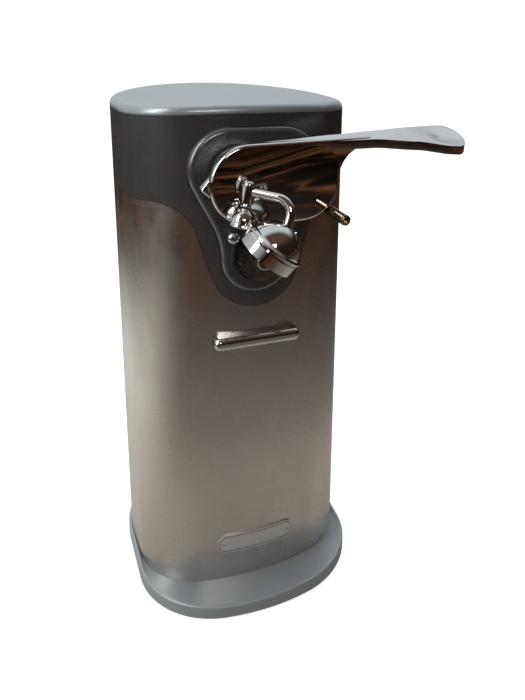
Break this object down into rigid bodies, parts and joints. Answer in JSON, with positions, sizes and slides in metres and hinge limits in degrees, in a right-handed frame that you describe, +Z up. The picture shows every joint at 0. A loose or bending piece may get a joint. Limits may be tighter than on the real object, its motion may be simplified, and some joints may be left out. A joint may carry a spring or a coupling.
{
  "type": "electric can opener",
  "caption": "Counter-top electric can opener: steel-wrapped tower on a plastic foot, with a chrome lever, toothed drive wheel, knife wheel and swinging magnetic lid holder.",
  "frame": {"origin": "on the counter, under the centre of the tower", "axes": "+Z up, the front faces -Y, +X towards the lever's handle"},
  "size_m": [0.1397, 0.1524, 0.23],
  "materials": {
    "badge_metal": "satin blank plate",
    "bridge_alloy": "die-cast alloy",
    "bronze": "sintered bronze bushing",
    "brushed_wrap": "fine brushing that runs around the tower",
    "button_plastic": "moulded button",
    "cap_plastic": "satin silver paint on moulded plastic",
    "chrome": "polished chrome plate",
    "copper_coil": "enamelled wire under tape",
    "core_steel": "varnished laminations",
    "fan_plastic": "moulded fan",
    "foot_plastic": "satin blue-grey moulding",
    "gear_nylon": "moulded nylon",
    "gland_rubber": "matt moulded rubber",
    "guide_brass": "nickel-plated turned brass",
    "hard_steel": "hardened ground steel",
    "magnet": "sintered ferrite",
    "plain_steel": "bright turned steel",
    "plate_steel": "pressed zinc-plated sheet",
    "rubber_pad": "matt moulded rubber",
    "shroud_plastic": "semi-gloss dark silver moulding",
    "switch_plastic": "moulded phenolic",
    "zinc_screws": "zinc-plated screws"
  },
  "bodies": {
    "housing": {"base": "foot_plastic", "bottom_plate": "foot_plastic", "rubber_feet": "rubber_pad", "base_screws": "zinc_screws", "steel_wrap": "brushed_wrap", "rear_cover": "shroud_plastic", "cord_gland": "gland_rubber", "rear_cover_screws": "zinc_screws", "upper_shroud": "shroud_plastic", "top_cap": "cap_plastic", "rest_bar": "chrome", "badge_plate": "badge_metal", "mechanism_plate": "shroud_plastic", "can_guide_pin": "chrome", "can_guide_post": "guide_brass", "guide_post_nut": "plain_steel", "lever_bushing": "bronze", "drive_bushing": "bronze", "idler_pins": "plain_steel", "gear_plate": "plate_steel", "gear_posts": "plain_steel", "chassis": "plate_steel", "motor_stator": "core_steel", "motor_coil": "copper_coil", "motor_front_bridge": "bridge_alloy", "motor_rear_bridge": "bridge_alloy", "motor_bearings": "bronze", "motor_screws": "zinc_screws", "motor_spacers": "plain_steel", "switch_body": "switch_plastic"},
    "lever": {"lever": "chrome", "lever_shaft": "plain_steel", "switch_cam": "gear_nylon", "cutter_pin": "hard_steel", "swivel_pin": "chrome", "swivel_lug": "chrome"},
    "cutter": {"cutter_wheel": "hard_steel"},
    "magnet_arm": {"magnet_arm": "chrome"},
    "lid_holder": {"magnet_cup": "chrome", "lid_magnet": "magnet"},
    "drive": {"drive_wheel": "hard_steel", "drive_nut": "plain_steel", "drive_shaft": "plain_steel", "output_gear": "gear_nylon"},
    "idler_1": {"idler_gear_1": "gear_nylon"},
    "idler_2": {"idler_gear_2": "gear_nylon"},
    "rotor": {"motor_rotor": "core_steel", "motor_pinion": "plain_steel", "motor_fan": "fan_plastic"},
    "button": {"switch_button": "button_plastic"}
  },
  "joints": [
    {"name": "lever_hinge", "type": "hinge", "parent": "housing", "child": "lever", "pos_m": [-0.008, -0.05, 0.201], "axis": [0, -1, 0], "range_deg": [0, 35]},
    {"name": "cutter_spin", "type": "hinge", "parent": "lever", "child": "cutter", "pos_m": [0, -0.059, 0.1823], "axis": [0, -1, 0], "continuous": true},
    {"name": "magnet_arm_swing", "type": "hinge", "parent": "lever", "child": "magnet_arm", "pos_m": [-0.0131, -0.0722, 0.1869], "axis": [0.1676, 0, 0.9859], "range_deg": [-50, 0]},
    {"name": "lid_holder_tilt", "type": "hinge", "parent": "magnet_arm", "child": "lid_holder", "pos_m": [-0.00087, -0.08611, 0.18707], "axis": [0.2845, 0.9587, 0], "range_deg": [-15, 0]},
    {"name": "drive_spin", "type": "hinge", "parent": "housing", "child": "drive", "pos_m": [0, -0.04, 0.167], "axis": [0, -1, 0], "continuous": true},
    {"name": "idler_2_spin", "type": "hinge", "parent": "housing", "child": "idler_2", "pos_m": [0, -0.022, 0.139], "axis": [0, -1, 0], "continuous": true},
    {"name": "idler_1_spin", "type": "hinge", "parent": "housing", "child": "idler_1", "pos_m": [0, -0.018, 0.112], "axis": [0, -1, 0], "continuous": true},
    {"name": "rotor_spin", "type": "hinge", "parent": "housing", "child": "rotor", "pos_m": [0, -0.008, 0.085], "axis": [0, -1, 0], "continuous": true},
    {"name": "button_press", "type": "slide", "parent": "housing", "child": "button", "axis": [0, 0, 1], "range_m": [0, 0.002]}
  ],
  "couplings": [
    {"joint": "idler_1_spin", "follows": "rotor_spin", "ratio": -0.28571},
    {"joint": "idler_2_spin", "follows": "rotor_spin", "ratio": 0.081633},
    {"joint": "drive_spin", "follows": "rotor_spin", "ratio": -0.022263},
    {"joint": "button_press", "follows": "lever_hinge", "m_per_rad": 0.003274}
  ]
}
